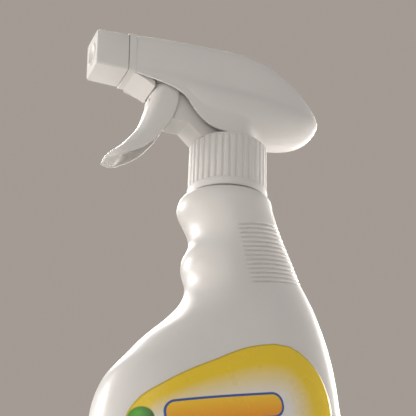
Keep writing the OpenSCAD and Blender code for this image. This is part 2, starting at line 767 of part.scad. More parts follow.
// Shroud: stations run back along the head and then fan round the tail. Each half profile has these keys, from the
// rim up to the ridge: [half width, height] at the side and [reach, height] at the tail
tail_back = tail_reach - 44.5;
profile = [[11.5, 27, 11.6, 26.8], [11.5, 34.6, 13.5, 28.3], [12, 36.6, 21, 29.2], [12.8, 38.6, 29.7, 31],
           [13.2, 41.2, 36.2 + tail_back, 34.3], [13, 43.9, 40.6 + tail_back, 38.8],
           [12, 46.8, 43.3 + tail_back, 43.4], [10.8, 49.3, tail_reach - 0.4, 47.3],
           [10.4, 52, 42.6 + tail_back, 50.6], [10.2, 56.5, 38.7 + tail_back, 55.8],
           [10, 61.5, 32.8 + tail_back, 61.6], [9.5, 65.9, 26.2, 66.2], [8.1, 69.3, 18.4, 69.8],
           [4.8, head_h - 0.5, 10, head_h - 0.6], [0, head_h, 0, head_h]];
crease_k = 7;
last_k = len(profile) - 1;
// Rim line of the side: level over the collar, then an S up to the flange
rim_line = [[-flange_reach, 47.4], [-44, 47], [-40, 46.3], [-36, 45.4], [-32, 44.2], [-29, 43], [-26.5, 41.6],
            [-24.5, 40.2], [-23, 38.4], [-21.6, 36.3], [-20.2, 34.3], [-18.2, 32.1], [-15.5, 29.9], [-12.2, 28.2],
            [-8.5, 27.3], [-4, 27], [0, 27]];
fan_steps = 10;
sides = len(rim_line);
station_count = sides + fan_steps;
tail_squareness = 2.2;
head_slope = 0.07;
side_narrow = [[-flange_reach, 1.7], [-40, 0.9], [-30, 0.35], [-15, 0], [0, 0]];
// A key point of the half profile at a straight station
function straight_point(x, rim, k) =
    let (key = profile[k],
         sink = head_slope * x,
         crease = profile[crease_k][1] + sink * 0.5,
         room = (crease - rim) / (profile[crease_k][1] - profile[0][1]),
         share = (key[1] - profile[0][1]) / (profile[crease_k][1] - profile[0][1]),
         line = mix(profile[0][0], profile[crease_k][0], share),
         flat = mix(line, profile[crease_k][0], 1 - room),
         w = k < crease_k ? flat + (key[0] - line) * room * room : key[0],
         z = k < crease_k ? mix(rim, crease, share)
             : key[1] + sink * mix(0.5, 1, (k - crease_k) / (last_k - crease_k)))
    [w - (k == last_k ? 0 : smooth(side_narrow, x)), z];
// A half profile moved in by t along its own normals
function inward(p, t) =
    [for (k = [0 : last_k])
        k == 0 ? p[0] - [t, 0]
        : k == last_k ? p[k] - [0, t]
        : let (d = p[k + 1] - p[k - 1], n = [d[1], -d[0]] / norm(d)) p[k] - t * n];
// The front edge lies along the flange, which leans with the droop
function flange_lean(h) = (spray_h - h) * tan(droop) + run_fit;
function side_profile(t) = inward([for (key = profile) [key[0], key[1]]], t);
function tail_profile(t) = inward([for (key = profile) [key[2], key[3]]], t);
function fan_angle(i) = 90 * (1 - (i - sides + 1) / fan_steps);
// Half arch of a station as points, on the near side (-1) or the far side (1), with the wall's depth t
function half_arch(i, side, t) =
    i < sides
    ? let (p = inward([for (k = [0 : last_k]) straight_point(rim_line[i][0], rim_line[i][1], k)], t))
      [for (k = [0 : last_k])
          [rim_line[i][0] + (i == 0 ? flange_lean(p[k][1]) : 0), side * p[k][0], collar_z + p[k][1]]]
    : let (a = side_profile(t), b = tail_profile(t), turn = fan_angle(i),
           c = pow(cos(turn), 2 / tail_squareness), s = pow(sin(turn), 2 / tail_squareness))
      [for (k = [0 : last_k])
          [b[k][0] * c, side * a[k][0] * s, collar_z + mix(a[k][1], b[k][1], pow(cos(turn), 2))]];
arch_n = 2 * last_k + 1;
function arch(i, t) =
    let (near = half_arch(i, -1, t), far = half_arch(i, 1, t))
    concat(near, [for (k = [last_k - 1 : -1 : 0]) far[k]]);
// Index of an arch's point, where all fans share one top and the two halves meet at the tail
function arch_id(i, k) =
    k == last_k && i >= sides ? (sides - 1) * arch_n + last_k
    : i == station_count - 1 && k > last_k ? i * arch_n + 2 * last_k - k
    : i * arch_n + k;
module shroud() {
    points = [for (t = [0, shroud_wall], i = [0 : station_count - 1]) each arch(i, t)];
    n = station_count * arch_n;
    grid = [for (i = [0 : station_count - 2], k = [0 : arch_n - 2])
        let (a = arch_id(i, k), b = arch_id(i, k + 1), c = arch_id(i + 1, k + 1), d = arch_id(i + 1, k))
        each [[a, b, c], [a, c, d]]];
    outside = [for (f = grid) if (f[0] != f[1] && f[1] != f[2] && f[2] != f[0]) f];
    inside = [for (f = outside) [f[0] + n, f[2] + n, f[1] + n]];
    front = [for (k = [0 : arch_n - 2]) each [[k, k + n, k + 1], [k + 1, k + n, k + 1 + n]]];
    rims = [for (i = [0 : station_count - 2], k = [0, arch_n - 1])
        let (a = arch_id(i, k), b = arch_id(i + 1, k))
        each k == 0 ? [[a, b, a + n], [b, b + n, a + n]] : [[b, a, b + n], [a, a + n, b + n]]];
    color(white)
        polyhedron(points, concat(outside, inside, front, rims), convexity = 8);
}

bottle();
front_label();
back_label();
collar();
gasket();
tube_retainer();
dip_tube();
inlet_ball();
pump_body();
piston();
piston_seal();
return_spring();
outlet_valve();
swirl_insert();
nozzle_cap();
trigger();
shroud();
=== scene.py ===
import math

import bpy
import bmesh
import numpy as np
from mathutils import Matrix, Vector


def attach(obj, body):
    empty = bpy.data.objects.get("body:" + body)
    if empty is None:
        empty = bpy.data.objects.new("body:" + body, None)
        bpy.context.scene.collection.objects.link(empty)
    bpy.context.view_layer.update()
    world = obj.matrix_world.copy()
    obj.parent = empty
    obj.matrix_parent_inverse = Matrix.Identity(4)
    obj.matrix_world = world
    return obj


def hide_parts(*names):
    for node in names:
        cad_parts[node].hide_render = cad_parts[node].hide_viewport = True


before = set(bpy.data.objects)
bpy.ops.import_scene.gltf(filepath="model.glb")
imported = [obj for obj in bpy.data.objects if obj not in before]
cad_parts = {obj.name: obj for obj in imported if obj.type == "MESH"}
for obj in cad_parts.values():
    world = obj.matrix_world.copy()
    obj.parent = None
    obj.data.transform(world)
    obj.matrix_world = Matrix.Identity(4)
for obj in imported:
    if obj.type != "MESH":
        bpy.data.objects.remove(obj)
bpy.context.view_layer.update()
MM = 0.001

# Camera: the photo's viewing angle, fitted to the bottle in the frame's own millimetres
EYE = Vector((-145.3, -338.4, 24.2)) * MM
AHEAD = Vector((0.3412, 0.8444, 0.4131)).normalized()
ROLL = math.radians(1.8)
FOCAL_PX = 950.0
PHOTO_PX = 416.0


def make_camera():
    data = bpy.data.cameras.new("camera")
    cam = bpy.data.objects.new("camera", data)
    bpy.context.scene.collection.objects.link(cam)
    level = AHEAD.cross(Vector((0, 0, 1))).normalized()
    up = level.cross(AHEAD)
    right = level * math.cos(ROLL) + up * math.sin(ROLL)
    up = right.cross(AHEAD)
    cam.matrix_world = Matrix((
        (right.x, up.x, -AHEAD.x, EYE.x),
        (right.y, up.y, -AHEAD.y, EYE.y),
        (right.z, up.z, -AHEAD.z, EYE.z),
        (0, 0, 0, 1)))
    data.sensor_width = 36.0
    data.lens = FOCAL_PX / PHOTO_PX * data.sensor_width
    data.clip_start = 0.01
    data.clip_end = 50
    bpy.context.scene.camera = cam


make_camera()
bpy.context.scene.view_settings.view_transform = "Standard"


# Curves and grids, all in millimetres until a mesh is made
def smooth(keys, t):
    k = np.array(keys, float)
    x, y = k[:, 0], k[:, 1]
    d = np.diff(y) / np.diff(x)
    both = d[:-1] * d[1:]
    total = np.where(np.abs(d[:-1] + d[1:]) < 1e-12, 1, d[:-1] + d[1:])
    m = np.concatenate([[d[0]], np.where(both > 0, 2 * both / total, 0), [d[-1]]])
    t = np.clip(np.asarray(t, float), x[0], x[-1])
    i = np.clip(np.searchsorted(x, t, side="right") - 1, 0, len(x) - 2)
    w = x[i + 1] - x[i]
    s = (t - x[i]) / w
    return (y[i] * (1 + 2 * s) * (1 - s) ** 2 + m[i] * w * s * (1 - s) ** 2
            + y[i + 1] * s * s * (3 - 2 * s) + m[i + 1] * w * s * s * (s - 1))


def softened(keys, t, width):
    """The same curve with its bends eased over a width, by averaging it along itself."""
    t = np.asarray(t, float)
    shifts = np.linspace(-2, 2, 17)
    weights = np.exp(-shifts ** 2)
    lo, hi = keys[0][0], keys[-1][0]
    room = np.minimum(width, np.minimum(t - lo, hi - t) / 2)
    room = np.maximum(room, 0)
    return sum(w * smooth(keys, t + s * room) for s, w in zip(shifts, weights)) / weights.sum()


def ease(a, b, t):
    s = np.clip((np.asarray(t, float) - a) / (b - a), 0, 1)
    return s * s * (3 - 2 * s)


def mix(a, b, s):
    return a + (b - a) * s


def spline(knots, values, ts):
    """Natural cubic spline of rows of values at the knots."""
    n = len(knots)
    h = np.diff(knots)
    a = np.zeros((n, n))
    r = np.zeros((n, values.shape[1]))
    a[0, 0] = a[-1, -1] = 1
    for i in range(1, n - 1):
        a[i, i - 1:i + 2] = h[i - 1], 2 * (h[i - 1] + h[i]), h[i]
        r[i] = 6 * ((values[i + 1] - values[i]) / h[i] - (values[i] - values[i - 1]) / h[i - 1])
    m = np.linalg.solve(a, r)
    i = np.clip(np.searchsorted(knots, ts, side="right") - 1, 0, n - 2)
    w = h[i][:, None]
    p = ((knots[i + 1] - ts) / h[i])[:, None]
    q = 1 - p
    return (p * values[i] + q * values[i + 1]
            + ((p ** 3 - p) * m[i] + (q ** 3 - q) * m[i + 1]) * w ** 2 / 6)


def new_object(name, points, faces, flat=False):
    mesh = bpy.data.meshes.new(name)
    mesh.from_pydata((np.asarray(points) * MM).tolist(), [], [list(map(int, f)) for f in faces])
    mesh.validate()
    mesh.update()
    if not flat:
        mesh.polygons.foreach_set("use_smooth", [True] * len(mesh.polygons))
    obj = bpy.data.objects.new(name, mesh)
    bpy.context.scene.collection.objects.link(obj)
    return obj


def grid_faces(rows, cols, closed=True, start=0, turned=False):
    """Quads between rows of points; closed joins each row's ends."""
    i, j = np.meshgrid(np.arange(rows - 1), np.arange(cols if closed else cols - 1), indexing="ij")
    i, j = i.ravel(), j.ravel()
    k = (j + 1) % cols
    quads = np.stack([i * cols + j, i * cols + k, (i + 1) * cols + k, (i + 1) * cols + j], 1) + start
    return (quads[:, ::-1] if turned else quads).tolist()


def sharp_by_angle(obj, degrees):
    """Marks edges sharper than an angle, so smooth shading breaks there."""
    bm = bmesh.new()
    bm.from_mesh(obj.data)
    for e in bm.edges:
        e.smooth = len(e.link_faces) == 2 and e.calc_face_angle(0) < math.radians(degrees)
    for f in bm.faces:
        f.smooth = True
    bm.to_mesh(obj.data)
    bm.free()


def rounded_copy(node, width, segments=3, angle=28, name=None):
    """A copy of a CAD node with its facets joined into faces and its edges rounded."""
    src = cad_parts[node]
    obj = bpy.data.objects.new(name or node + "_rounded", src.data.copy())
    bpy.context.scene.collection.objects.link(obj)
    obj.data.materials.clear()
    bm = bmesh.new()
    bm.from_mesh(obj.data)
    bmesh.ops.remove_doubles(bm, verts=bm.verts, dist=2e-6)
    bmesh.ops.dissolve_limit(bm, angle_limit=math.radians(0.6), use_dissolve_boundaries=False,
                             verts=bm.verts, edges=bm.edges)
    for f in bm.faces:
        f.smooth = True
    bm.to_mesh(obj.data)
    bm.free()
    if obj.data.has_custom_normals:
        bpy.context.view_layer.objects.active = obj
        obj.select_set(True)
        bpy.ops.mesh.customdata_custom_splitnormals_clear()
        obj.select_set(False)
    mod = obj.modifiers.new("round", "BEVEL")
    mod.width = width * MM
    mod.segments = segments
    mod.limit_method = "ANGLE"
    mod.angle_limit = math.radians(angle)
    mod.harden_normals = True
    mod.use_clamp_overlap = True
    mod.miter_outer = "MITER_ARC"
    sharp_by_angle(obj, 40)
    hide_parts(node)
    return obj


# Materials: every one is made of nodes on the object's own coordinates
def tree_of(name):
    mat = bpy.data.materials.new(name)
    mat.use_nodes = True
    tree = mat.node_tree
    tree.nodes.clear()
    out = tree.nodes.new("ShaderNodeOutputMaterial")
    shader = tree.nodes.new("ShaderNodeBsdfPrincipled")
    tree.links.new(shader.outputs["BSDF"], out.inputs["Surface"])
    coords = tree.nodes.new("ShaderNodeTexCoord").outputs["Object"]
    return mat, tree, shader, coords


def noise(tree, coords, scale, detail=3.0, rough=0.55, stretch=None):
    if stretch:
        mapping = tree.nodes.new("ShaderNodeMapping")
        mapping.inputs["Scale"].default_value = stretch
        tree.links.new(coords, mapping.inputs["Vector"])
        coords = mapping.outputs["Vector"]
    node = tree.nodes.new("ShaderNodeTexNoise")
    node.inputs["Scale"].default_value = scale
    node.inputs["Detail"].default_value = detail
    node.inputs["Roughness"].default_value = rough
    tree.links.new(coords, node.inputs["Vector"])
    return node.outputs["Fac"]


def spread(tree, value, lo, hi, at=(0.3, 0.7)):
    node = tree.nodes.new("ShaderNodeMapRange")
    node.inputs["From Min"].default_value, node.inputs["From Max"].default_value = at
    node.inputs["To Min"].default_value, node.inputs["To Max"].default_value = lo, hi
    tree.links.new(value, node.inputs["Value"])
    return node.outputs["Result"]


def math_node(tree, op, a, b=None, clamp=False):
    node = tree.nodes.new("ShaderNodeMath")
    node.operation = op
    node.use_clamp = clamp
    for slot, v in enumerate([a, b]):
        if v is None:
            continue
        if isinstance(v, (int, float)):
            node.inputs[slot].default_value = v
        else:
            tree.links.new(v, node.inputs[slot])
    return node.outputs[0]


def blend_colours(tree, factor, a, b):
    node = tree.nodes.new("ShaderNodeMix")
    node.data_type = "RGBA"
    for socket, v in ((node.inputs[0], factor), (node.inputs[6], a), (node.inputs[7], b)):
        if isinstance(v, (int, float)):
            socket.default_value = v
        elif isinstance(v, tuple):
            socket.default_value = (*v, 1.0)
        else:
            tree.links.new(v, socket)
    return node.outputs[2]


def bump(tree, shader, layers):
    """Bump layers of (height, distance in mm), one feeding the next."""
    normal = None
    for height, distance in layers:
        node = tree.nodes.new("ShaderNodeBump")
        node.inputs["Strength"].default_value = 1.0
        node.inputs["Distance"].default_value = distance * MM
        tree.links.new(height, node.inputs["Height"])
        if normal:
            tree.links.new(normal, node.inputs["Normal"])
        normal = node.outputs["Normal"]
    tree.links.new(normal, shader.inputs["Normal"])


def plastic(name, colour, shade, rough, grain=0.012, peel=0.02, gloss=0.5, soft=0.0, fine=2600):
    """Moulded plastic: fine grain, a slow ripple, and slight changes of tone and gloss."""
    mat, tree, shader, coords = tree_of(name)
    slow = noise(tree, coords, 160, 4)
    tiny = noise(tree, coords, fine, 2)
    drift = noise(tree, coords, 22, 2)
    tone = blend_colours(tree, spread(tree, drift, 0, 1), colour, shade)
    tree.links.new(tone, shader.inputs["Base Color"])
    tree.links.new(spread(tree, slow, rough - 0.05, rough + 0.06), shader.inputs["Roughness"])
    shader.inputs["Specular IOR Level"].default_value = gloss
    shader.inputs["IOR"].default_value = 1.5
    if soft:
        shader.inputs["Subsurface Weight"].default_value = soft
        shader.inputs["Subsurface Radius"].default_value = (1.0, 0.9, 0.8)
        shader.inputs["Subsurface Scale"].default_value = 0.0012
    bump(tree, shader, [(slow, peel), (tiny, grain)])
    return mat


def steel(name):
    mat, tree, shader, coords = tree_of(name)
    lines = noise(tree, coords, 900, 3, stretch=(0.15, 1, 1))
    tone = blend_colours(tree, lines, (0.50, 0.51, 0.53), (0.66, 0.67, 0.69))
    tree.links.new(tone, shader.inputs["Base Color"])
    tree.links.new(spread(tree, lines, 0.22, 0.38), shader.inputs["Roughness"])
    shader.inputs["Metallic"].default_value = 1.0
    bump(tree, shader, [(lines, 0.01)])
    return mat


MATS = {
    "bottle": plastic("bottle_hdpe", (0.74, 0.725, 0.70), (0.70, 0.685, 0.66), 0.34,
                      grain=0.008, peel=0.03, soft=0.12),
    "head": plastic("sprayer_pp", (0.76, 0.745, 0.72), (0.72, 0.705, 0.68), 0.38,
                    grain=0.014, peel=0.012, soft=0.08),
    "collar": plastic("collar_pp", (0.74, 0.725, 0.70), (0.69, 0.675, 0.65), 0.42,
                      grain=0.016, peel=0.012, soft=0.06),
    "inner": plastic("inner_pp", (0.66, 0.68, 0.70), (0.60, 0.62, 0.64), 0.36,
                     grain=0.01, peel=0.01, soft=0.15),
    "tube": plastic("tube_pe", (0.68, 0.70, 0.69), (0.62, 0.64, 0.63), 0.28,
                    grain=0.006, peel=0.02, soft=0.2),
    "foam": plastic("gasket_foam", (0.58, 0.60, 0.62), (0.50, 0.52, 0.54), 0.75,
                    grain=0.05, peel=0.03, gloss=0.3, fine=1500),
    "seal": plastic("seal_rubber", (0.022, 0.022, 0.025), (0.035, 0.035, 0.037), 0.5, gloss=0.4),
    "valve": plastic("valve_rubber", (0.16, 0.18, 0.21), (0.13, 0.15, 0.18), 0.5, gloss=0.4),
    "steel": steel("drawn_steel"),
}


# Bottle: the same outline as the CAD's, with even grooves and eased bends
COLLAR_Z, FRONT, REAR, HALF_DEPTH = 195.0, 53.0, 50.5, 29.0
DENT, SHOULDER, WAIST = 14.7, 21.2, 20.6
FRONT_KEYS = [[0.5, 16.2], [1.3, 18.6], [3, 20.5], [7, SHOULDER], [12, 18.4], [17, 15.3], [22, DENT],
              [27, 17.5], [33, 18.7], [39, DENT + 1], [45, DENT + 1.8], [51, mix(DENT, FRONT, 0.14)],
              [57, mix(DENT, FRONT, 0.28)], [64, mix(DENT, FRONT, 0.48)], [72, mix(DENT, FRONT, 0.655)],
              [82, mix(DENT, FRONT, 0.865)], [92, FRONT - 1.9], [102, FRONT - 0.7], [142, FRONT],
              [195, FRONT - 1.5]]
REAR_KEYS = [[0.5, 15.4], [1.3, 17.3], [3, 18.7], [6, 19.1], [12, 21.5], [20, 25.4], [27, 29.2], [34, 32.3],
             [38, 34.4], [40.5, mix(SHOULDER, REAR, 0.51)], [48, mix(SHOULDER, REAR, 0.635)],
             [60, mix(SHOULDER, REAR, 0.76)], [72, mix(SHOULDER, REAR, 0.83)],
             [87, mix(SHOULDER, REAR, 0.89)], [102, REAR - 0.8], [142, REAR], [195, REAR - 1.5]]
SIDE_KEYS = [[0.5, 15.8], [1.3, 18.1], [3, 20], [6, 20.8], [22, 20], [37, WAIST],
             [52, mix(WAIST, HALF_DEPTH, 0.29)], [67, mix(WAIST, HALF_DEPTH, 0.68)],
             [82, mix(WAIST, HALF_DEPTH, 0.92)], [97, HALF_DEPTH], [142, HALF_DEPTH], [195, HALF_DEPTH - 1]]
BASE_ROUND, WALL = 7.0, 1.1
NECK_R, BORE_R, LIP_Z = 12.5, 10.6, COLLAR_Z + 19.2
GRIP_TOP, GRIP_COUNT, GRIP_PITCH, GRIP_TILT = 19.3, 14, 1.84, 0.21
GROOVE_DEEP, GROOVE_SHARE = 0.74, 0.34


def reaches(h):
    drop = COLLAR_Z - np.asarray(h, float)
    width = 3.0 * ease(5, 16, drop)
    return [softened(keys, drop, width) for keys in (FRONT_KEYS, REAR_KEYS, SIDE_KEYS)]


def base_inset(h):
    """How far the rounded edge of the base draws the skin in at a height."""
    h = np.asarray(h, float)
    low = np.clip(BASE_ROUND - h, 0, BASE_ROUND)
    return BASE_ROUND - np.sqrt(BASE_ROUND ** 2 - low ** 2)


def skin(h, angle, out=0.0):
    """Points of the bottle's skin for arrays of heights and angles from the rear."""
    front, rear, side = reaches(h)
    n = 2 + 0.5 * ease(40, 84, COLLAR_Z - h)
    c, s = np.cos(angle), np.sin(angle)
    inset = base_inset(h) - out
    reach = np.where(c > 0, rear, front) - inset
    return np.stack([np.sign(c) * np.abs(c) ** (2 / n) * reach,
                     np.sign(s) * np.abs(s) ** (2 / n) * (side - inset), h + 0 * c], -1)


def skin_y(h, x, out=0.0):
    """Half depth of the skin, moved outwards, at arrays of heights and x."""
    front, rear, side = reaches(h)
    n = 2 + 0.5 * ease(40, 84, COLLAR_Z - h)
    inset = base_inset(h) - out
    reach = np.where(x > 0, rear, front) - inset
    return (side - inset) * (1 - np.minimum(np.abs(x) / reach, 0.999) ** n) ** (1 / n)


def grip_start(h):
    """The x at which the grip's grooves begin, which leans with the rear edge."""
    return -3.7 + 0.25 * (COLLAR_Z - h - GRIP_TOP)


def make_bottle():
    cols = 184
    base = BASE_ROUND * (1 - np.cos(np.radians(np.arange(0, 91, 7.5))))
    body = np.arange(BASE_ROUND + 1.5, COLLAR_Z - 46, 1.5)
    grip = np.arange(COLLAR_Z - 45.5, COLLAR_Z - 17.5, 0.165)
    top = COLLAR_Z - np.concatenate([np.arange(17.2, 4, -0.8), np.arange(3.8, 0.55, -0.25), [0.5]])
    heights = np.concatenate([base, body, grip, top])
    angles = np.linspace(0, 2 * np.pi, cols, endpoint=False)
    h, a = np.meshgrid(heights, angles, indexing="ij")
    p = skin(h, a)
    # Grooves of the rear grip, each a soft valley between flat lands, rising towards the rear
    drop = COLLAR_Z - h
    lift = GRIP_TILT * np.maximum(p[..., 0] - grip_start(h), 0) * ease(5, GRIP_TOP - 1, drop)
    p = skin(h + lift * (1 - ease(47, 75, drop)), a)
    line = (drop - GRIP_TOP) / GRIP_PITCH
    near = np.clip(np.round(line), 0, GRIP_COUNT - 1)
    off = np.abs(line - near) / GROOVE_SHARE
    valley = np.where(off < 1, 0.5 + 0.5 * np.cos(np.pi * np.minimum(off, 1)), 0)
    deep = GROOVE_DEEP * valley * ease(-0.2, 1.5, p[..., 0] - grip_start(h))
    r = np.hypot(p[..., 0], p[..., 1])
    p[..., 0] *= 1 - deep / r
    p[..., 1] *= 1 - deep / r
    outside = p.reshape(-1, 3)
    # Neck, then the inside down to the floor
    turned = [(NECK_R + 0.5, COLLAR_Z - 0.5), (NECK_R, COLLAR_Z - 0.2), (NECK_R, LIP_Z - 0.5),
              (NECK_R - 0.15, LIP_Z - 0.15), (NECK_R - 0.5, LIP_Z), (BORE_R + 0.3, LIP_Z),
              (BORE_R, LIP_Z - 0.3), (BORE_R, COLLAR_Z - 1.6)]
    neck = [np.stack([rr * np.cos(angles), rr * np.sin(angles), 0 * angles + z], -1) for rr, z in turned]
    inner_drops = [2.2, 3, 5, 8.5, 12, 17, 22, 27.5, 33, 39, 45, 52, 60, 68, 76, 84, 92, 102, 140, 170]
    inner_h = np.concatenate([COLLAR_Z - np.array(inner_drops), [BASE_ROUND, 4, 2.2, 1.4, WALL]])
    inner = []
    inner_round = BASE_ROUND - WALL
    for z in inner_h:
        low = BASE_ROUND - z
        curl = 0
        if low > 0:
            curl = inner_round - math.sqrt(max(inner_round ** 2 - low ** 2, 0)) - float(base_inset(z))
        inner.append(skin(z + 0 * angles, angles, -WALL - curl))
    points = np.concatenate([outside] + neck + inner + [[[0, 0, 0.0]], [[0, 0, WALL]]])
    rows = len(heights) + len(neck) + len(inner)
    faces = grid_faces(rows, cols)
    n = rows * cols
    faces += [[n, (j + 1) % cols, j] for j in range(cols)]
    last = (rows - 1) * cols
    faces += [[n + 1, last + j, last + (j + 1) % cols] for j in range(cols)]
    obj = new_object("bottle_blown", points, faces)
    sharp_by_angle(obj, 50)
    obj.data.materials.append(MATS["bottle"])
    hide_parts("bottle")
    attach(obj, "bottle")


# Labels: a film on each broad side, whose printed fields follow the label's own shape
LABEL_LOW, LABEL_TOP = 22.0, COLLAR_Z - 68.6
LABEL_MID = [[0, 0.5], [0.3, -3], [0.6, -4.2], [0.7, -3.9], [0.76, -2.5], [0.82, 1.4], [0.866, 4.5],
             [0.916, 8.1], [0.965, 10.5], [1, 13]]
LABEL_HALF = [[0, 24.5], [0.006, 28.2], [0.022, 31.4], [0.05, 34.2], [0.13, 38.4], [0.3, 41.4],
              [0.6, 41.5], [0.7, 40.7], [0.76, 38.5], [0.82, 33.8], [0.866, 28.8], [0.916, 21.9],
              [0.965, 14], [0.985, 9], [1, 3.5]]


def label_outline(count=160):
    t = np.linspace(0, 1, count)
    mid, half = smooth(LABEL_MID, t), smooth(LABEL_HALF, t)
    z = mix(LABEL_LOW, LABEL_TOP, t)
    left = np.stack([mid - half, z], -1)
    right = np.stack([mid + half, z], -1)
    return np.concatenate([left, right[::-1], left[:1]])


def edge_distance(points):
    """Distance in mm of flat points from the label's outline."""
    line = label_outline()
    a, b = line[:-1], line[1:]
    ab = b - a
    best = np.full(len(points), 1e9)
    for k in range(len(a)):
        s = np.clip(((points - a[k]) @ ab[k]) / max(ab[k] @ ab[k], 1e-12), 0, 1)
        best = np.minimum(best, np.linalg.norm(points - (a[k] + s[:, None] * ab[k]), axis=1))
    return best


def make_label(name, side, material, node):
    t = np.concatenate([np.linspace(0, 0.9, 110), np.linspace(0.9, 1, 41)[1:]])
    rows, cols = len(t), 72
    u = np.linspace(-1, 1, cols)
    tt, uu = np.meshgrid(t, u, indexing="ij")
    h = mix(LABEL_LOW, LABEL_TOP, tt)
    x = smooth(LABEL_MID, tt) + smooth(LABEL_HALF, tt) * uu
    rim = edge_distance(np.stack([x.ravel(), h.ravel()], -1))
    # The film thins to the skin over its last fraction of a millimetre
    lift = (0.10 + 0.16 * np.sqrt(np.clip(rim / 0.5, 0, 1))).reshape(x.shape)
    y = skin_y(h, x, lift)
    out = np.stack([x, -side * y, h], -1).reshape(-1, 3)
    back = np.stack([x, -side * skin_y(h, x, 0.03), h], -1).reshape(-1, 3)
    n = rows * cols
    turned = side < 0
    faces = grid_faces(rows, cols, False, 0, turned) + grid_faces(rows, cols, False, n, not turned)
    edge = ([j for j in range(cols)] + [i * cols + cols - 1 for i in range(1, rows)]
            + [(rows - 1) * cols + j for j in range(cols - 2, -1, -1)]
            + [i * cols for i in range(rows - 2, 0, -1)])
    for k, a in enumerate(edge):
        b = edge[(k + 1) % len(edge)]
        quad = [a, a + n, b + n, b]
        faces.append(quad[::-1] if turned else quad)
    obj = new_object(name, np.concatenate([out, back]), faces)
    data = obj.data.attributes.new("rim", "FLOAT", "POINT")
    data.data.foreach_set("value", np.concatenate([rim, rim]).astype(np.float32))
    obj.data.materials.append(material)
    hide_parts(node)
    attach(obj, "bottle")


def inside(tree, value, edge, soft):
    """1 where a value is under an edge, with a soft step in the value's own units."""
    return spread(tree, value, 1, 0, (edge - soft, edge + soft))


def label_material(name, bands, spots):
    """Printed film: yellow at the rim, fading to a pale centre, with a thin dark outline."""
    mat, tree, shader, coords = tree_of(name)
    split = tree.nodes.new("ShaderNodeSeparateXYZ")
    tree.links.new(coords, split.inputs[0])
    x, z = split.outputs["X"], split.outputs["Z"]
    attribute = tree.nodes.new("ShaderNodeAttribute")
    attribute.attribute_name = "rim"
    rim = attribute.outputs["Fac"]

    def length(a, b):
        squares = [math_node(tree, "MULTIPLY", v, v) for v in (a, b)]
        return math_node(tree, "SQRT", math_node(tree, "ADD", *squares))

    def radius(cx, cz, rx, rz):
        dx = math_node(tree, "DIVIDE", math_node(tree, "SUBTRACT", x, cx * MM), rx * MM)
        dz = math_node(tree, "DIVIDE", math_node(tree, "SUBTRACT", z, cz * MM), rz * MM)
        return length(dx, dz)

    # The yellow border is narrow on the left and wide on the right
    border_w = spread(tree, x, 7.5, 18.0, (-0.036, 0.024))
    field = spread(tree, math_node(tree, "DIVIDE", rim, border_w), 1, 0, (0.5, 1.3))
    colour = blend_colours(tree, field, PALE, YELLOW)

    def tilted(cx, cz, degrees):
        dx, dz = math_node(tree, "SUBTRACT", x, cx * MM), math_node(tree, "SUBTRACT", z, cz * MM)
        c, sn = math.cos(math.radians(degrees)), math.sin(math.radians(degrees))
        along = [math_node(tree, "MULTIPLY", *pair) for pair in ((dx, c), (dz, sn))]
        across = [math_node(tree, "MULTIPLY", *pair) for pair in ((dz, c), (dx, sn))]
        return math_node(tree, "ADD", *along), math_node(tree, "SUBTRACT", *across)

    # Plain slanting bands with rounded ends stand where the print's heading is
    for cx, cz, degrees, wide, tall, fill, low_fill, border in bands:
        u, v = tilted(cx, cz, degrees)
        corner = tall * 0.45
        over = []
        for t, size in ((u, wide), (v, tall)):
            past = math_node(tree, "SUBTRACT", math_node(tree, "ABSOLUTE", t), (size / 2 - corner) * MM)
            over.append(math_node(tree, "MAXIMUM", past, 0.0))
        far = length(*over)
        if border:
            colour = blend_colours(tree, inside(tree, far, (corner + 0.9) * MM, 0.1 * MM), colour, border)
        tone = blend_colours(tree, spread(tree, v, 0, 1, (-tall / 2 * MM, tall / 2 * MM)), low_fill, fill)
        colour = blend_colours(tree, inside(tree, far, corner * MM, 0.1 * MM), colour, tone)
    for cx, cz, rx, rz, fill, rim_fill in spots:
        r = radius(cx, cz, rx, rz)
        away = spread(tree, radius(cx - rx * 0.3, cz + rz * 0.3, rx, rz), 0, 1, (0.2, 1.1))
        shade = blend_colours(tree, away, fill, rim_fill)
        colour = blend_colours(tree, inside(tree, r, 1.0, 0.05), colour, shade)
    line = inside(tree, rim, 0.55, 0.2)
    colour = blend_colours(tree, math_node(tree, "MULTIPLY", line, 0.55), colour, (0.30, 0.24, 0.06))
    fibre = noise(tree, coords, 1400, 3)
    ripple = noise(tree, coords, 70, 3)
    colour = blend_colours(tree, spread(tree, fibre, 0, 0.06), colour, (0.55, 0.50, 0.35))
    tree.links.new(colour, shader.inputs["Base Color"])
    tree.links.new(spread(tree, ripple, 0.24, 0.34), shader.inputs["Roughness"])
    shader.inputs["Coat Weight"].default_value = 0.25
    shader.inputs["Coat Roughness"].default_value = 0.18
    bump(tree, shader, [(ripple, 0.04), (fibre, 0.006)])
    return mat


